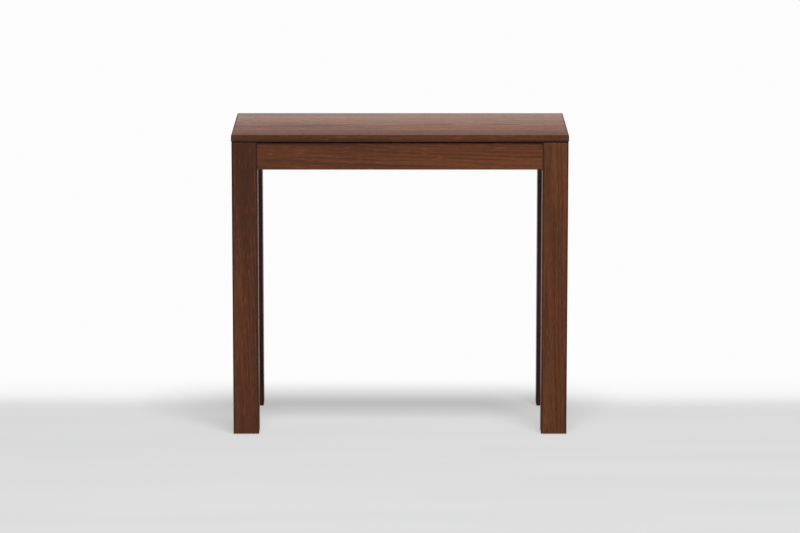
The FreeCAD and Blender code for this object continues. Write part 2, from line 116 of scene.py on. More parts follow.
def lesser(tree, first, second):
    return calculate(tree, "MINIMUM", first, second)


def absolute(tree, value):
    return calculate(tree, "ABSOLUTE", value)


def stretch(tree, vector, amounts):
    node = addNode(tree, "ShaderNodeVectorMath", operation="MULTIPLY")
    feed(tree, node.inputs[0], vector)
    node.inputs[1].default_value = amounts
    return node.outputs[0]


def vectorLength(tree, vector):
    node = addNode(tree, "ShaderNodeVectorMath", operation="LENGTH")
    feed(tree, node.inputs[0], vector)
    return node.outputs["Value"]


def splitAxes(tree, vector):
    node = addNode(tree, "ShaderNodeSeparateXYZ")
    feed(tree, node.inputs[0], vector)
    return node.outputs


def objectPlace(tree):
    return addNode(tree, "ShaderNodeTexCoord").outputs["Object"]


def objectAxes(tree):
    return splitAxes(tree, objectPlace(tree))


def remap(tree, value, low, high, newLow=0.0, newHigh=1.0, kind="LINEAR"):
    node = addNode(tree, "ShaderNodeMapRange", interpolation_type=kind)
    feed(tree, node.inputs["Value"], value)
    feed(tree, node.inputs["From Min"], low)
    feed(tree, node.inputs["From Max"], high)
    feed(tree, node.inputs["To Min"], newLow)
    feed(tree, node.inputs["To Max"], newHigh)
    return node.outputs["Result"]


# a layer of noise has its waves in a metre along the three axes, its detail, and where set its
# roughness and twist, the span of values that is used and what the span is turned to
def noise(tree, vector, layer, part="Fac"):
    node = addNode(tree, "ShaderNodeTexNoise")
    feed(tree, node.inputs["Vector"], stretch(tree, vector, layer["waves"]))
    node.inputs["Scale"].default_value = 1.0
    node.inputs["Detail"].default_value = layer["detail"]
    node.inputs["Roughness"].default_value = layer.get("rough", 0.5)
    node.inputs["Distortion"].default_value = layer.get("twist", 0.0)
    return node.outputs[part]


def spanned(tree, value, layer, kind="LINEAR"):
    return remap(tree, value, *layer["span"], *layer.get("to", (0.0, 1.0)), kind=kind)


def mask(tree, vector, layer, kind="LINEAR"):
    return spanned(tree, noise(tree, vector, layer), layer, kind)


def blendColours(tree, factor, first, second, mode="MIX"):
    node = addNode(tree, "ShaderNodeMix", data_type="RGBA", blend_type=mode)
    feed(tree, node.inputs["Factor"], factor)
    feed(tree, node.inputs[6], first)
    feed(tree, node.inputs[7], second)
    return node.outputs[2]


def mixShaders(tree, factor, first, second):
    node = addNode(tree, "ShaderNodeMixShader")
    feed(tree, node.inputs["Fac"], factor)
    feed(tree, node.inputs[1], first)
    feed(tree, node.inputs[2], second)
    return node.outputs["Shader"]


def newGroup(name, inputs, outputs, kind="ShaderNodeTree"):
    group = bpy.data.node_groups.new(name, kind)
    for label, socket in inputs.items():
        group.interface.new_socket(label, in_out="INPUT", socket_type=socket)
    for label, socket in outputs.items():
        group.interface.new_socket(label, in_out="OUTPUT", socket_type=socket)
    return group, addNode(group, "NodeGroupInput").outputs, addNode(group, "NodeGroupOutput").inputs


def useGroup(tree, group, **values):
    node = addNode(tree, "ShaderNodeGroup", node_tree=group)
    for label, value in values.items():
        feed(tree, node.inputs[label], value)
    return node.outputs


# figure of stained walnut; Place is measured from the heart of the log, with the grain along X
figureSpec = {
    "sway": {"waves": (1.1, 6, 6), "detail": 2},
    "swayReach": (0, 0.05, 0.05),
    "ringsPerMetre": 125,
    "taper": 2.4,  # rings gained in a metre along the log
    "waver": {"waves": (3, 45, 45), "detail": 2},
    "lateWood": (0.10, 0.85, 1.0),  # where the dark part of a ring starts, is darkest and ends
    "lateDark": 0.45,
    "faint": {"waves": (1.2, 85, 85), "detail": 1, "span": (0.36, 0.62), "to": (0.25, 1.25)},
    "broad": {"waves": (0.9, 11, 11), "detail": 2, "twist": 0.4, "span": (0.36, 0.64)},
    "hue": {"waves": (1.7, 21, 21), "detail": 1, "twist": 0.6, "span": (0.42, 0.68), "to": (0.0, 0.7)},
    "streak": {"waves": (5.5, 300, 300), "detail": 3, "rough": 0.6, "span": (0.35, 0.68), "to": (1.0, 0.0)},
    "dash": {"waves": (26, 360, 360), "detail": 1, "span": (0.58, 0.72)},
    "dashLift": (1.35, 1.35, 1.35),
    "pore": {"waves": (50, 1500, 1500), "detail": 1, "span": (0.56, 0.68)},
    "poreTone": (0.008, 0.003, 0.002),
    "poreDepth": 0.55,
    "dulls": {"streak": 0.5, "pore": 0.4, "late": 0.3},  # how much each takes from the gloss
    "streakHeight": 0.35,
}


def buildWalnutFigure():
    spec = figureSpec
    group, ins, outs = newGroup(
        "walnutFigure",
        {"Place": vectorKind, "Dark": colourKind, "Light": colourKind, "Red": colourKind,
         "Rings": floatKind, "Streaks": floatKind, "Dashes": floatKind},
        {"Colour": colourKind, "Sheen": floatKind, "Height": floatKind})
    place, dark, light = ins["Place"], ins["Dark"], ins["Light"]

    # growth rings round the heart, swaying along the log and tapering, so that flat faces show arches
    shift = addNode(group, "ShaderNodeVectorMath", operation="MULTIPLY_ADD")
    feed(group, shift.inputs[0], noise(group, place, spec["sway"], "Color"))
    shift.inputs[1].default_value = spec["swayReach"]
    feed(group, shift.inputs[2], stretch(group, place, (0, 1, 1)))
    ring = times(group, vectorLength(group, shift.outputs[0]), spec["ringsPerMetre"])
    ring = plus(group, ring, times(group, splitAxes(group, place)["X"], spec["taper"]))
    ring = plus(group, ring, noise(group, place, spec["waver"]))
    phase = calculate(group, "FRACT", ring)
    start, darkest, end = spec["lateWood"]
    late = times(group, remap(group, phase, start, darkest, kind="SMOOTHSTEP"),
                 remap(group, phase, darkest, end, 1.0, 0.0, kind="SMOOTHSTEP"))
    late = times(group, late, mask(group, place, spec["faint"]))
    late = calculate(group, "MULTIPLY", late, ins["Rings"], clamp=True)

    # colours, from the broad patches to the pores
    ground = blendColours(group, mask(group, place, spec["broad"], "SMOOTHSTEP"), dark, light)
    ground = blendColours(group, mask(group, place, spec["hue"]), ground, ins["Red"])
    ground = blendColours(group, late, ground, blendColours(group, spec["lateDark"], dark, black))
    streak = noise(group, place, spec["streak"])
    shade = times(group, spanned(group, streak, spec["streak"]), ins["Streaks"])
    ground = blendColours(group, shade, ground, dark)
    dashes = times(group, mask(group, place, spec["dash"]), ins["Dashes"])
    bright = blendColours(group, 1.0, light, spec["dashLift"], mode="MULTIPLY")
    ground = blendColours(group, dashes, ground, bright)
    pores = mask(group, place, spec["pore"])
    ground = blendColours(group, times(group, pores, spec["poreDepth"]), ground, spec["poreTone"])
    feed(group, outs["Colour"], ground)

    dulls = spec["dulls"]
    sheen = plus(group, times(group, streak, dulls["streak"]), times(group, pores, dulls["pore"]))
    feed(group, outs["Sheen"], plus(group, sheen, times(group, late, dulls["late"])))
    feed(group, outs["Height"], minus(group, times(group, streak, spec["streakHeight"]), pores))
    return group


# darkening along a line, used for painted shade in the seams, along rounded edges and towards the front of
# the top, and for real stain along the split; Away is the distance from its line
stainAndShadeLook = {
    # tone of the darkening: the colour of the painted shade and of the real stain
    "tone": (0.018, 0.0050, 0.0024),
    "uneven": {"waves": (70, 70, 70), "detail": 2, "rough": 0.6, "span": (0.3, 0.7), "to": (0.80, 1.25)},
}


def buildStainAndPaintedShade():
    group, ins, outs = newGroup(
        "stainAndPaintedShade",
        {"Place": vectorKind, "Colour": colourKind, "Away": floatKind, "Near": floatKind,
         "Far": floatKind, "Depth": floatKind},
        {"Colour": colourKind, "Amount": floatKind})
    away = times(group, ins["Away"], mask(group, ins["Place"], stainAndShadeLook["uneven"]))
    amount = remap(group, away, ins["Near"], ins["Far"], 1.0, 0.0, kind="SMOOTHSTEP")
    amount = times(group, amount, ins["Depth"])
    feed(group, outs["Colour"], blendColours(group, amount, ins["Colour"], stainAndShadeLook["tone"]))
    feed(group, outs["Amount"], amount)
    return group


# drawn or brushed lines along Y of Place, with a cloudy tone
drawnSpec = {
    "lines": {"waves": (1400, 6, 1400), "detail": 2, "rough": 0.6, "span": (0.35, 0.7)},
    "cloud": {"waves": (90, 90, 90), "detail": 3, "rough": 0.6, "twist": 0.4, "span": (0.3, 0.7)},
    "grooveTone": (0.22, 0.22, 0.23),
}


def buildDrawnMetal():
    group, ins, outs = newGroup(
        "drawnMetal",
        {"Place": vectorKind, "Tone": colourKind, "Cloud": colourKind, "Lines": floatKind},
        {"Colour": colourKind, "Lines": floatKind, "Cloud": floatKind})
    lines = noise(group, ins["Place"], drawnSpec["lines"])
    cloud = mask(group, ins["Place"], drawnSpec["cloud"])
    tone = blendColours(group, cloud, ins["Tone"], ins["Cloud"])
    groove = times(group, spanned(group, lines, drawnSpec["lines"]), ins["Lines"])
    feed(group, outs["Colour"], blendColours(group, groove, tone, drawnSpec["grooveTone"]))
    feed(group, outs["Lines"], lines)
    feed(group, outs["Cloud"], cloud)
    return group


# moulded plastic: fine tooth and faint patches
mouldedSpec = {
    "patch": {"waves": (70, 70, 70), "detail": 2, "span": (0.35, 0.65)},
    "tooth": {"waves": (2600, 2600, 2600), "detail": 1},
}


def buildMouldedSkin():
    group, ins, outs = newGroup(
        "mouldedSkin",
        {"Place": vectorKind, "Tone": colourKind, "Patch": colourKind},
        {"Colour": colourKind, "Tooth": floatKind})
    patch = mask(group, ins["Place"], mouldedSpec["patch"])
    feed(group, outs["Colour"], blendColours(group, patch, ins["Tone"], ins["Patch"]))
    feed(group, outs["Tooth"], noise(group, ins["Place"], mouldedSpec["tooth"]))
    return group


walnutFigure = buildWalnutFigure()
stainAndPaintedShade = buildStainAndPaintedShade()
drawnMetal = buildDrawnMetal()
mouldedSkin = buildMouldedSkin()
print("shader groups built")


def newMaterial(name, metallic=0.0, specular=0.5):
    material = bpy.data.materials.new(name)
    material.use_nodes = True
    tree = material.node_tree
    tree.nodes.clear()
    shader = addNode(tree, "ShaderNodeBsdfPrincipled")
    shader.inputs["Metallic"].default_value = metallic
    shader.inputs["Specular IOR Level"].default_value = specular
    feed(tree, addNode(tree, "ShaderNodeOutputMaterial").inputs["Surface"], shader.outputs["BSDF"])
    return material, tree, shader


def addBump(tree, shader, height, distance, strength):
    bump = addNode(tree, "ShaderNodeBump")
    bump.inputs["Strength"].default_value = strength
    bump.inputs["Distance"].default_value = distance
    feed(tree, bump.inputs["Height"], height)
    feed(tree, shader.inputs["Normal"], bump.outputs["Normal"])


# where the walnut is darkened, mostly by painted shade, with real stain along the split: distances from its
# lines, on all sides of the table
legLow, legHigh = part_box("rear_leg_right")
apronLow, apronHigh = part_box("rear_apron")
sideLow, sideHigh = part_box("rear_side_apron_right")
topLow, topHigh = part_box("rear_top")


def faceAway(tree, value, low, high):
    value = absolute(tree, value)
    return lesser(tree, minus(tree, value, low), minus(tree, high, value))


# painted shade in the groove between the top and the frame
def seamAway(tree):
    return absolute(tree, minus(tree, objectAxes(tree)["Z"], topLow.z))


# painted shade along the rounded upright edges of the legs
def legEdgeAway(tree):
    axes = objectAxes(tree)
    return plus(tree, faceAway(tree, axes["X"], legLow.x, legHigh.x),
                faceAway(tree, axes["Y"], legLow.y, legHigh.y))


# the left front leg is darker towards its upper end; the other legs count as a metre or more away
def upperEndAway(tree):
    axes = objectAxes(tree)
    away = minus(tree, topLow.z, axes["Z"])
    for axis in "XY":
        away = plus(tree, away, calculate(tree, "GREATER_THAN", axes[axis]))
    return away


# painted shade along the rounded lower edges of the aprons
def lowerEdgeAway(tree, axis, low, high):
    axes = objectAxes(tree)
    return plus(tree, faceAway(tree, axes[axis], low, high), minus(tree, axes["Z"], apronLow.z))


def apronEdgeAway(tree):
    return lowerEdgeAway(tree, "Y", apronLow.y, apronHigh.y)


def sideEdgeAway(tree):
    return lowerEdgeAway(tree, "X", sideLow.x, sideHigh.x)


# painted shade: the top is darker towards its front edge, where less light falls
def frontShadeAway(tree):
    return minus(tree, objectAxes(tree)["Y"], cadLow.y)


def splitAway(tree):
    return absolute(tree, objectAxes(tree)["Y"])


# painted shade on the rounded upper edge of the edging and its upright corners
def topEdgeAway(tree):
    axes = objectAxes(tree)
    outX = minus(tree, cadHigh.x, absolute(tree, axes["X"]))
    outY = minus(tree, cadHigh.y, absolute(tree, axes["Y"]))
    upper = plus(tree, lesser(tree, outX, outY), minus(tree, cadHigh.z, axes["Z"]))
    return lesser(tree, upper, plus(tree, outX, outY))


# near and far in metres: the darkening is full up to near and gone at far; it is painted shade in the seam,
# along the rounded edges and towards the front of the top, and real stain along the split
stainAndShadeSpec = {
    "seam": {"away": seamAway, "near": 0.0010, "far": 0.0027, "depth": 0.85},
    "legEdge": {"away": legEdgeAway, "near": 0.0030, "far": 0.0050, "depth": 0.62},
    "upperEnd": {"away": upperEndAway, "near": 0.08, "far": 0.36, "depth": 0.38},
    "apronEdge": {"away": apronEdgeAway, "near": 0.0010, "far": 0.0026, "depth": 0.75},
    "sideEdge": {"away": sideEdgeAway, "near": 0.0010, "far": 0.0026, "depth": 0.75},
    "frontShade": {"away": frontShadeAway, "near": 0.03, "far": 0.15, "depth": 0.24},
    "split": {"away": splitAway, "near": 0.0006, "far": 0.0018, "depth": 0.75},
    "topEdge": {"away": topEdgeAway, "near": 0.0022, "far": 0.0033, "depth": 0.95},
}


# darkens a colour by one line of the table above: painted shade at most lines, real stain along the split
def stainedOrShaded(tree, colour, kind):
    spec = stainAndShadeSpec[kind]
    return useGroup(tree, stainAndPaintedShade, Place=objectPlace(tree), Colour=colour, Away=spec["away"](tree),
                    Near=spec["near"], Far=spec["far"], Depth=spec["depth"])


# grain: the axis along the piece; middle: where pieces on both sides of the table are centred;
# heart: the heart of the log from there, in the two ways across;
# step: how far apart in the log the pieces were cut; stains: the painted shade and the real stain, in the
# order they are laid on
legMiddle, apronMiddle, sideMiddle = (
    (low + high) / 2 for low, high in ((legLow, legHigh), (apronLow, apronHigh), (sideLow, sideHigh)))
# lift: how light each piece's walnut tones are; partly the piece's own tone, partly painted light and
# shade, with the top lighter and the legs and the edging strip darker
walnutSpec = {
    "walnutTop": {
        "grain": "X", "middle": (0, 0, 0), "heart": (0.03, 0.63), "step": (0, 5.1),
        "lift": 1.12, "gloss": (0.22, 0.37), "rings": 0.60, "streaks": 0.55, "dashes": 0.35,
        "stainsAndShades": ("frontShade", "split"),
    },
    "walnutApron": {
        "grain": "X", "middle": (0, apronMiddle.y, 0), "heart": (0.045, 0.70), "step": (1.3, 1.3),
        "lift": 1.0, "gloss": (0.41, 0.56), "rings": 0.55, "streaks": 0.50, "dashes": 0.55,
        "stainsAndShades": ("apronEdge", "seam"),
    },
    "walnutSide": {
        "grain": "Y", "middle": (sideMiddle.x, 0, 0), "heart": (0.045, 0.71), "step": (0.9, 0),
        "lift": 1.0, "gloss": (0.41, 0.56), "rings": 0.55, "streaks": 0.50, "dashes": 0.55,
        "stainsAndShades": ("sideEdge", "seam"),
    },
    "walnutLeg": {
        "grain": "Z", "middle": (legMiddle.x, legMiddle.y, 0), "heart": (0.006, 0.020),
        "step": (4.985, -2.005),
        "lift": 0.95, "gloss": (0.41, 0.56), "rings": 0.50, "streaks": 0.45, "dashes": 0.55,
        "stainsAndShades": ("upperEnd", "legEdge", "seam"),
    },
}
walnutTones = {
    "Dark": (0.074, 0.0224, 0.0081),
    "Light": (0.172, 0.0560, 0.0203),
    "Red": (0.150, 0.0402, 0.0158),
}
walnutLook = {"specular": 0.22, "sheenSpan": (0, 0.8), "bump": (0.00012, 0.5)}


# place in the log: along the grain, then the two ways across from the heart
def logPlace(tree, spec):
    axes = objectAxes(tree)
    along = axes[spec["grain"]]
    place = addNode(tree, "ShaderNodeCombineXYZ")
    middles = dict(zip("XYZ", spec["middle"]))
    across = [axis for axis in "XYZ" if axis != spec["grain"]]
    for target, axis, heart, step in zip("YZ", across, spec["heart"], spec["step"]):
        side = calculate(tree, "SIGN", axes[axis])
        local = minus(tree, axes[axis], times(tree, side, middles[axis]))
        feed(tree, place.inputs[target], minus(tree, local, heart))
        along = plus(tree, along, times(tree, side, step))
    feed(tree, place.inputs["X"], along)
    return place.outputs[0]


def walnutParts(tree, spec):
    # the tones scaled by the piece's lift, which holds painted light and shade as well as the piece's own
    # tone
    tones = {name: [spec["lift"] * part for part in tone] for name, tone in walnutTones.items()}
    return useGroup(tree, walnutFigure, Place=logPlace(tree, spec), Rings=spec["rings"],
                    Streaks=spec["streaks"], Dashes=spec["dashes"], **tones)


def walnut(name):
    spec = walnutSpec[name]
    material, tree, shader = newMaterial(name, specular=walnutLook["specular"])
    parts = walnutParts(tree, spec)
    colour = parts["Colour"]
    for kind in spec["stainsAndShades"]:
        colour = stainedOrShaded(tree, colour, kind)["Colour"]
    feed(tree, shader.inputs["Base Color"], colour)
    rough = remap(tree, parts["Sheen"], *walnutLook["sheenSpan"], *spec["gloss"])
    feed(tree, shader.inputs["Roughness"], rough)
    addBump(tree, shader, parts["Height"], *walnutLook["bump"])
    return material


# the strip's grain follows the side it covers
edgingSpec = {
    # lift 0.80 is painted shade: the face of the strip darker than the top's upper face
    "along": {**walnutSpec["walnutTop"], "heart": (0.03, 0.60), "lift": 0.80},
    "across": {**walnutSpec["walnutTop"], "grain": "Y", "heart": (0.05, 0.60), "lift": 0.80},
    "gloss": (0.34, 0.48),
    "dullEdge": 0.45,  # roughness added where the painted shade lies on the rounded upper edge
    "paintedLightBand": (0.016, 0.003),  # below the upper face; painted light: the face of the strip is lighter towards its upper edge
    "paintedLightTone": (0.70, 1.45),
    "bump": (0.0001, 0.4),
}


def walnutEdging():
    spec = edgingSpec
    material, tree, shader = newMaterial("walnutEdging", specular=walnutLook["specular"])
    along = walnutParts(tree, spec["along"])
    across = walnutParts(tree, spec["across"])
    onSide = calculate(tree, "GREATER_THAN", absolute(tree, objectAxes(tree)["X"]), topHigh.x)
    colour, sheen, height = (blendColours(tree, onSide, along[part], across[part])
                             for part in ("Colour", "Sheen", "Height"))
    # painted light: the strip's face gets lighter from the seam up to its upper edge
    low, high = (cadHigh.z - drop for drop in spec["paintedLightBand"])
    paintedLight = remap(tree, objectAxes(tree)["Z"], low, high, *spec["paintedLightTone"])
    colour = blendColours(tree, 1.0, colour, paintedLight, mode="MULTIPLY")
    # painted shade in the seam below the strip and on its rounded upper edge
    edge = stainedOrShaded(tree, stainedOrShaded(tree, colour, "seam")["Colour"], "topEdge")
    feed(tree, shader.inputs["Base Color"], edge["Colour"])
    rough = remap(tree, sheen, *walnutLook["sheenSpan"], *spec["gloss"])
    rough = plus(tree, rough, times(tree, edge["Amount"], spec["dullEdge"]))
    feed(tree, shader.inputs["Roughness"], rough)
    addBump(tree, shader, height, *spec["bump"])
    return material


# plain planed beech for the hidden cleats and the dowels; turn in degrees, for the way of the grain
beechSpec = {
    "turns": {"beechAlongX": 0, "beechAlongY": 90},
    "tone": (0.52, 0.335, 0.19),
    "deep": (0.40, 0.235, 0.12),
    "fleckTone": (0.30, 0.165, 0.08),
    "figure": {"waves": (4, 90, 90), "detail": 3, "rough": 0.6, "twist": 0.6, "span": (0.3, 0.7)},
    "fleck": {"waves": (160, 1300, 1300), "detail": 1, "span": (0.62, 0.70)},
    "fleckDepth": 0.6,
    "figureSpan": (0.2, 0.8),
    "gloss": (0.58, 0.74),
    "specular": 0.3,
    "bump": (0.00015, 0.5),
}


def beech(name):
    spec = beechSpec
    material, tree, shader = newMaterial(name, specular=spec["specular"])
    mapping = addNode(tree, "ShaderNodeMapping")
    mapping.inputs["Rotation"].default_value = (0, 0, math.radians(spec["turns"][name]))
    feed(tree, mapping.inputs["Vector"], objectPlace(tree))
    place = mapping.outputs["Vector"]
    figure = noise(tree, place, spec["figure"])
    flecks = mask(tree, place, spec["fleck"])
    colour = blendColours(tree, spanned(tree, figure, spec["figure"]), spec["tone"], spec["deep"])
    colour = blendColours(tree, times(tree, flecks, spec["fleckDepth"]), colour, spec["fleckTone"])
    feed(tree, shader.inputs["Base Color"], colour)
    feed(tree, shader.inputs["Roughness"], remap(tree, figure, *spec["figureSpan"], *spec["gloss"]))
    addBump(tree, shader, minus(tree, figure, flecks), *spec["bump"])
    return material


# metals; relief is the part of the drawn metal that the bump follows, a pitch makes it a thread
metalSpec = {
    "guideAluminium": {
        "tone": (0.62, 0.63, 0.64), "cloud": (0.56, 0.57, 0.585), "lines": 0.30, "rough": (0.29, 0.43),
        "relief": "Lines", "bump": (0.00006, 0.6),
    },
    "zincSteel": {
        "tone": (0.56, 0.565, 0.57), "cloud": (0.44, 0.45, 0.475), "lines": 0.10, "rough": (0.28, 0.42),
        "relief": "Cloud", "bump": (0.0001, 0.3),
    },
    "zincThread": {
        "tone": (0.55, 0.55, 0.55), "cloud": (0.42, 0.43, 0.45), "lines": 0.0, "rough": (0.31, 0.45),
        "pitch": 0.00125, "bump": (0.00045, 1.0),
    },
    "screwZinc": {
        "tone": (0.58, 0.565, 0.52), "cloud": (0.50, 0.46, 0.38), "lines": 0.0, "rough": (0.25, 0.39),
        "relief": "Cloud", "bump": (0.00005, 0.3),
    },
}


# thread rings on the bolts, whose axes all lie on the diagonals of the frame
def threadRidge(tree, pitch):
    axes = objectAxes(tree)
    along = plus(tree, absolute(tree, axes["X"]), absolute(tree, axes["Y"]))
    turns = times(tree, along, 1 / (math.sqrt(2) * pitch))
    return times(tree, calculate(tree, "PINGPONG", turns, 0.5), 2.0)


def metal(name):
    spec = metalSpec[name]
    material, tree, shader = newMaterial(name, metallic=1.0)
    parts = useGroup(tree, drawnMetal, Place=objectPlace(tree), Tone=spec["tone"], Cloud=spec["cloud"],
                     Lines=spec["lines"])
    feed(tree, shader.inputs["Base Color"], parts["Colour"])
    feed(tree, shader.inputs["Roughness"], remap(tree, parts["Cloud"], 0, 1, *spec["rough"]))
    relief = threadRidge(tree, spec["pitch"]) if "pitch" in spec else parts[spec["relief"]]
    addBump(tree, shader, relief, *spec["bump"])
    return material


# plastics
plasticSpec = {
    "nylonSlide": {"tone": (0.70, 0.68, 0.62), "patch": (0.63, 0.60, 0.52), "rough": (0.38, 0.52)},
    "darkGlide": {"tone": (0.030, 0.024, 0.021), "patch": (0.018, 0.015, 0.013), "rough": (0.45, 0.65)},
}
plasticLook = {"specular": 0.45, "toothSpan": (0.3, 0.7), "bump": (0.00008, 0.35)}


def plastic(name):
    spec = plasticSpec[name]
    material, tree, shader = newMaterial(name, specular=plasticLook["specular"])
    parts = useGroup(tree, mouldedSkin, Place=objectPlace(tree), Tone=spec["tone"], Patch=spec["patch"])
    feed(tree, shader.inputs["Base Color"], parts["Colour"])
    rough = remap(tree, parts["Tooth"], *plasticLook["toothSpan"], *spec["rough"])
    feed(tree, shader.inputs["Roughness"], rough)
    addBump(tree, shader, parts["Tooth"], *plasticLook["bump"])
    return material


finishes = {"walnutEdging": walnutEdging()}
finishMakers = [
    (walnut, walnutSpec),
    (beech, beechSpec["turns"]),
    (metal, metalSpec),
    (plastic, plasticSpec),
]
for make, names in finishMakers:
    for name in names:
        finishes[name] = make(name)
print("materials built:", len(finishes))


# which finish each node takes, by a part of its name, first match wins
finishRules = [
    ("top_dowels", "beechAlongY"),
    ("top_edging", "walnutEdging"),
    ("_top", "walnutTop"),
    ("side_apron", "walnutSide"),
    ("apron", "walnutApron"),
    ("leg_bolts", "zincThread"),
    ("leg_nuts", "zincSteel"),
    ("leg", "walnutLeg"),
    ("side_cleats", "beechAlongY"),
    ("cleat", "beechAlongX"),
    ("glides", "darkGlide"),
    ("inserts", "nylonSlide"),
    ("rail_brackets", "zincSteel"),
    ("rail", "guideAluminium"),
    ("", "zincSteel"),
]
for name, node in nodes.items():
    finish = next(finish for key, finish in finishRules if key in name)
    for slot in node.material_slots:
        slot.material = finishes[finish]
print("nodes dressed")


# wood screws of the plates, brackets, guide flanges and cleats, heads only; sizes in metres
screwSpec = {
    "Head Radius": 0.0040,
    "Rim Height": 0.0011,
    "Crown": 0.0013,
    "Recess Length": 0.0046,
    "Recess Width": 0.0011,
    "Recess Depth": 0.0013,
    "Seed": 4,
}
headFacets = {"Vertices": 18, "Side Segments": 1, "Fill Segments": 3}


def upBy(tree, height):
    node = addNode(tree, "ShaderNodeCombineXYZ")
    feed(tree, node.inputs["Z"], height)
    return node.outputs[0]


def movedUp(tree, geometry, height):
    node = addNode(tree, "GeometryNodeTransform")
    feed(tree, node.inputs["Geometry"], geometry)
    feed(tree, node.inputs["Translation"], upBy(tree, height))
    return node.outputs["Geometry"]


# pan head: a short cylinder whose upper rings rise to a crown
def panHead(tree, sizes):
    head = addNode(tree, "GeometryNodeMeshCylinder")
    for label, count in headFacets.items():
        head.inputs[label].default_value = count
    feed(tree, head.inputs["Radius"], sizes["Head Radius"])
    feed(tree, head.inputs["Depth"], sizes["Rim Height"])
    axes = splitAxes(tree, addNode(tree, "GeometryNodeInputPosition").outputs[0])
    squareX, squareY, squareRadius = (calculate(tree, "POWER", length, 2.0)
                                      for length in (axes["X"], axes["Y"], sizes["Head Radius"]))
    share = calculate(tree, "DIVIDE", plus(tree, squareX, squareY), squareRadius)
    crown = addNode(tree, "GeometryNodeSetPosition")
    feed(tree, crown.inputs["Geometry"], head.outputs["Mesh"])
    feed(tree, crown.inputs["Selection"], calculate(tree, "GREATER_THAN", axes["Z"]))
    feed(tree, crown.inputs["Offset"], upBy(tree, times(tree, minus(tree, 1.0, share), sizes["Crown"])))
    return crown.outputs["Geometry"]


# cross recess cut by two bars
def crossRecess(tree, shape, sizes):
    top = plus(tree, times(tree, sizes["Rim Height"], 0.5), sizes["Crown"])
    for alongX, alongY in (("Recess Length", "Recess Width"), ("Recess Width", "Recess Length")):
        size = addNode(tree, "ShaderNodeCombineXYZ")
        feed(tree, size.inputs["X"], sizes[alongX])
        feed(tree, size.inputs["Y"], sizes[alongY])
        feed(tree, size.inputs["Z"], times(tree, sizes["Recess Depth"], 2.0))
        bar = addNode(tree, "GeometryNodeMeshCube")
        feed(tree, bar.inputs["Size"], size.outputs[0])
        carve = addNode(tree, "GeometryNodeMeshBoolean", operation="DIFFERENCE", solver="EXACT")
        feed(tree, carve.inputs["Mesh 1"], shape)
        feed(tree, carve.inputs["Mesh 2"], movedUp(tree, bar.outputs["Mesh"], top))
        shape = carve.outputs["Mesh"]
    return shape


# a head stands along the axis stored with its point, turned by chance
def headTurn(tree, seed):
    axis = addNode(tree, "GeometryNodeInputNamedAttribute", data_type="FLOAT_VECTOR")
    axis.inputs["Name"].default_value = "screwAxis"
    aim = addNode(tree, "FunctionNodeAlignRotationToVector", axis="Z")
    feed(tree, aim.inputs["Vector"], axis.outputs["Attribute"])
    chance = addNode(tree, "FunctionNodeRandomValue", data_type="FLOAT")
    chance.inputs[3].default_value = math.tau
    feed(tree, chance.inputs["Seed"], seed)
    twist = addNode(tree, "FunctionNodeAxisAngleToRotation")
    twist.inputs["Axis"].default_value = (0, 0, 1)
    feed(tree, twist.inputs["Angle"], chance.outputs[1])
    turn = addNode(tree, "FunctionNodeRotateRotation", rotation_space="LOCAL")
    feed(tree, turn.inputs["Rotation"], aim.outputs["Rotation"])
    feed(tree, turn.inputs["Rotate By"], twist.outputs["Rotation"])
    return turn.outputs["Rotation"]


def buildScrewTree():
    inputs = {"Geometry": "NodeSocketGeometry", **{label: floatKind for label in screwSpec}}
    inputs.update({"Seed": "NodeSocketInt", "Finish": "NodeSocketMaterial"})
    outputs = {"Geometry": "NodeSocketGeometry"}
    tree, ins, outs = newGroup("woodScrewHeads", inputs, outputs, "GeometryNodeTree")
    head = crossRecess(tree, panHead(tree, ins), ins)
    seated = movedUp(tree, head, times(tree, ins["Rim Height"], 0.5))
    points = addNode(tree, "GeometryNodeMeshToPoints")
    feed(tree, points.inputs["Mesh"], ins["Geometry"])
    place = addNode(tree, "GeometryNodeInstanceOnPoints")
    feed(tree, place.inputs["Points"], points.outputs["Points"])
    feed(tree, place.inputs["Instance"], seated)
    feed(tree, place.inputs["Rotation"], headTurn(tree, ins["Seed"]))
    real = addNode(tree, "GeometryNodeRealizeInstances")
    feed(tree, real.inputs["Geometry"], place.outputs["Instances"])
    dress = addNode(tree, "GeometryNodeSetMaterial")
    feed(tree, dress.inputs["Geometry"], real.outputs["Geometry"])
    feed(tree, dress.inputs["Material"], ins["Finish"])
    feed(tree, outs["Geometry"], dress.outputs["Geometry"])
    return tree


screwTree = buildScrewTree()
screwSockets = {item.name: item.identifier for item in screwTree.interface.items_tree
                if item.in_out == "INPUT"}

# places of the heads on what they hold, m
screwPlaces = {
    "plateSteel": 0.0025,  # thickness of the plates and the brackets
    "plateFromEnd": 0.0125,
    "plateSpread": 0.015,
    "bracketFromGuide": 0.015,
    "bracketSpread": 0.0075,
    "bracketAlongGuide": (0.016, 0.031),
    "flangeWidth": 0.016,
    "flangeThickness": 0.003,
    "flangeInset": 0.008,
    "flangeAlong": (0.030, 0.080, 0.130),
    "cleatFromEnd": (0.012, 0.036),
}


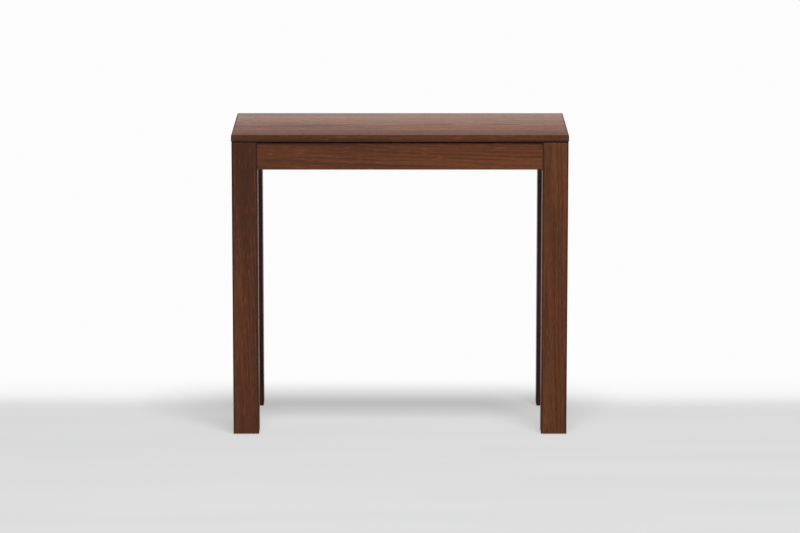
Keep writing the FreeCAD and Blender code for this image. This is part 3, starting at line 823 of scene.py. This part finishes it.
# points and axes on one half, from the boxes of what is screwed on; side is 1 at the rear, -1 in front
def screwPoints(half, side):
    spec = screwPlaces
    found = []

    def add(x, y, z, axis):
        found.append((Vector((x, y, z)), Vector(axis)))

    plateLow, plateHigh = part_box(f"{half}_corner_plates")
    cornerLow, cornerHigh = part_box(f"{half}_leg_right")
    bracketLow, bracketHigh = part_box(f"{half}_rail_brackets")
    cleatLow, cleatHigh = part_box(f"{half}_cleat")
    sideCleatLow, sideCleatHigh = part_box(f"{half}_side_cleats")
    guideLow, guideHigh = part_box("rail_right_fixed" if side > 0 else "rail_right_front")

    plateInner, apronFace = sorted((abs(plateLow.y), abs(plateHigh.y)))
    plateReach = min(abs(cornerLow.y), abs(cornerHigh.y)) - plateInner
    plateEnd = cornerLow.x - plateReach
    plateLevel = (plateLow.z + plateHigh.z) / 2
    bracketLevel = (bracketLow.z + bracketHigh.z) / 2
    guideFace = (guideHigh.x if side > 0 else guideLow.x) - side * spec["flangeWidth"]
    flangeUnder = guideHigh.z - spec["flangeThickness"]
    cleatInner = min(abs(cleatLow.y), abs(cleatHigh.y))
    cleatDepth = cleatHigh.z - cleatLow.z
    cleatLevel = (cleatLow.z + cleatHigh.z) / 2
    sideCleatInner = min(abs(sideCleatLow.y), abs(sideCleatHigh.y))
    sideCleatLevel = (sideCleatLow.z + sideCleatHigh.z) / 2
    seat = side * (apronFace - spec["plateSteel"])
    first, second = spec["cleatFromEnd"]

    for hand in (-1, 1):
        for step in (-1, 1):
            plateRow = plateLevel + step * spec["plateSpread"]
            bracketRow = bracketLevel + step * spec["bracketSpread"]
            add(hand * (plateEnd + spec["plateFromEnd"]), seat, plateRow, (0, -side, 0))
            add(hand * (plateHigh.x - spec["plateSteel"]), side * (plateInner + spec["plateFromEnd"]),
                plateRow, (-hand, 0, 0))
            add(hand * (guideFace + side * spec["bracketFromGuide"]), seat, bracketRow, (0, -side, 0))
        for along in spec["bracketAlongGuide"]:
            add(hand * (guideFace + side * spec["plateSteel"]), side * (apronFace - along), bracketLevel,
                (hand * side, 0, 0))
        for along in spec["flangeAlong"]:
            add(hand * (guideFace + side * spec["flangeInset"]), side * along, flangeUnder, (0, 0, -1))
        add(hand * (cleatHigh.x - first), side * cleatInner, cleatLevel, (0, -side, 0))
        add(hand * (cleatHigh.x - second), (cleatLow.y + cleatHigh.y) / 2, cleatLow.z, (0, 0, -1))
        add(hand * (sideCleatHigh.x - cleatDepth), side * (sideCleatInner + first),
            sideCleatLevel, (-hand, 0, 0))
        add(hand * (sideCleatHigh.x - cleatDepth / 2), side * (sideCleatInner + second),
            sideCleatLow.z, (0, 0, -1))
    return found


def makeScrews(half, side):
    found = screwPoints(half, side)
    mesh = bpy.data.meshes.new(f"{half}_wood_screws")
    mesh.from_pydata([point for point, axis in found], [], [])
    mesh.attributes.new("screwAxis", "FLOAT_VECTOR", "POINT")
    for index, (point, axis) in enumerate(found):
        mesh.attributes["screwAxis"].data[index].vector = axis
    piece = bpy.data.objects.new(f"{half}_wood_screws", mesh)
    scene.collection.objects.link(piece)
    modifier = piece.modifiers.new("heads", "NODES")
    modifier.node_group = screwTree
    for label, value in screwSpec.items():
        modifier[screwSockets[label]] = value
    modifier[screwSockets["Finish"]] = finishes["screwZinc"]
    solved = piece.evaluated_get(bpy.context.evaluated_depsgraph_get())
    plain = bpy.data.meshes.new_from_object(solved)
    piece.modifiers.clear()
    piece.data = plain
    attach(piece, f"{half}_frame")
    print(half, "screws:", len(found), "heads,", len(plain.polygons), "faces")


makeScrews("rear", 1)
makeScrews("front", -1)


# pale floor that goes over to white behind the table and far away
paperWhite = (0.975, 0.975, 0.975)
floorSpec = {
    "reach": 40.0,
    "tone": (0.42, 0.423, 0.427),
    "pale": (0.46, 0.46, 0.46),
    "behind": (0.80, 0.80, 0.80),
    "grain": {"waves": (0.8, 7, 7), "detail": 4, "rough": 0.6, "span": (0.3, 0.7)},
    "grainSpan": (0.2, 0.8),
    "gloss": (0.55, 0.70),
    "specular": 0.2,
    "lift": (0.70, 0.70, 0.70),  # light of its own that keeps the shadows pale
    "liftShare": 0.62,
    "fade": (0.08, 0.35),  # where the floor turns pale behind the table
    "glowBehind": (0.13, 0.50),
    "glowAround": (2.5, 6.0),
    "bounceLoss": 0.75,  # share of its light that the floor keeps from the table
}


def emission(tree, colour):
    node = addNode(tree, "ShaderNodeEmission")
    feed(tree, node.inputs["Color"], colour)
    return node.outputs["Emission"]


def floorMaterial():
    spec = floorSpec
    material, tree, shader = newMaterial("paleFloor", specular=spec["specular"])
    place = objectPlace(tree)
    depth = splitAxes(tree, place)["Y"]
    rays = addNode(tree, "ShaderNodeLightPath").outputs
    grain = noise(tree, place, spec["grain"])
    tone = blendColours(tree, spanned(tree, grain, spec["grain"]), spec["tone"], spec["pale"])
    tone = blendColours(tree, remap(tree, depth, *spec["fade"], kind="SMOOTHSTEP"), tone, spec["behind"])
    loss = times(tree, rays["Is Diffuse Ray"], spec["bounceLoss"])
    feed(tree, shader.inputs["Base Color"], blendColours(tree, loss, tone, black))
    feed(tree, shader.inputs["Roughness"], remap(tree, grain, *spec["grainSpan"], *spec["gloss"]))

    lifted = mixShaders(tree, times(tree, rays["Is Camera Ray"], spec["liftShare"]),
                        shader.outputs["BSDF"], emission(tree, spec["lift"]))
    glow = calculate(tree, "MAXIMUM", remap(tree, depth, *spec["glowBehind"], kind="SMOOTHSTEP"),
                     remap(tree, vectorLength(tree, place), *spec["glowAround"], kind="SMOOTHSTEP"))
    upper = mixShaders(tree, glow, lifted, emission(tree, paperWhite))
    # seen from below, the floor lets the view through
    under = addNode(tree, "ShaderNodeBsdfTransparent").outputs["BSDF"]
    backfacing = addNode(tree, "ShaderNodeNewGeometry").outputs["Backfacing"]
    surface = tree.get_output_node("ALL").inputs["Surface"]
    feed(tree, surface, mixShaders(tree, backfacing, upper, under))
    return material


def makeFloor():
    reach = floorSpec["reach"]
    corners = [(-reach, -reach, 0), (reach, -reach, 0), (reach, reach, 0), (-reach, reach, 0)]
    mesh = bpy.data.meshes.new("floor")
    mesh.from_pydata(corners, [], [(0, 1, 2, 3)])
    mesh.materials.append(floorMaterial())
    floor = bpy.data.objects.new("floor", mesh)
    scene.collection.objects.link(floor)


makeFloor()


# light: a soft room that is dim at the horizon, a high softbox in front and a thin strip behind the top
lightSpec = {
    "tone": (1, 1, 1),
    "horizon": 0.04,
    "zenith": 0.35,
    "boxes": {
        "highBox": {
            "place": (0.55, -3.1, 7.8), "aim": (0, 0, 0.4), "size": (3.4, 2.0), "watts": 1150,
        },
        "sheenStrip": {
            "place": (0, 0.30, 0.799), "aim": (0, -1, 0.799), "size": (1.8, 0.054), "watts": 0.214,
        },
    },
}


def background(tree, colour, strength):
    node = addNode(tree, "ShaderNodeBackground")
    feed(tree, node.inputs["Color"], colour)
    feed(tree, node.inputs["Strength"], strength)
    return node.outputs["Background"]


# the camera sees white, the table sees the soft room
def makeRoom():
    world = bpy.data.worlds.new("softRoom")
    scene.world = world
    world.use_nodes = True
    tree = world.node_tree
    tree.nodes.clear()
    up = splitAxes(tree, addNode(tree, "ShaderNodeTexCoord").outputs["Generated"])["Z"]
    strength = remap(tree, up, 0.0, 1.0, lightSpec["horizon"], lightSpec["zenith"])
    seen = addNode(tree, "ShaderNodeLightPath").outputs["Is Camera Ray"]
    room = background(tree, lightSpec["tone"], strength)
    surface = mixShaders(tree, seen, room, background(tree, paperWhite, 1.0))
    feed(tree, addNode(tree, "ShaderNodeOutputWorld").inputs["Surface"], surface)


def makeLight(name, spec):
    data = bpy.data.lights.new(name, "AREA")
    data.shape = "RECTANGLE"
    data.size, data.size_y = spec["size"]
    data.energy = spec["watts"]
    box = bpy.data.objects.new(name, data)
    box.location = spec["place"]
    box.rotation_euler = (Vector(spec["aim"]) - box.location).to_track_quat("-Z", "Y").to_euler()
    box.visible_camera = False
    scene.collection.objects.link(box)


makeRoom()
for name, spec in lightSpec["boxes"].items():
    makeLight(name, spec)
print("floor and light set")
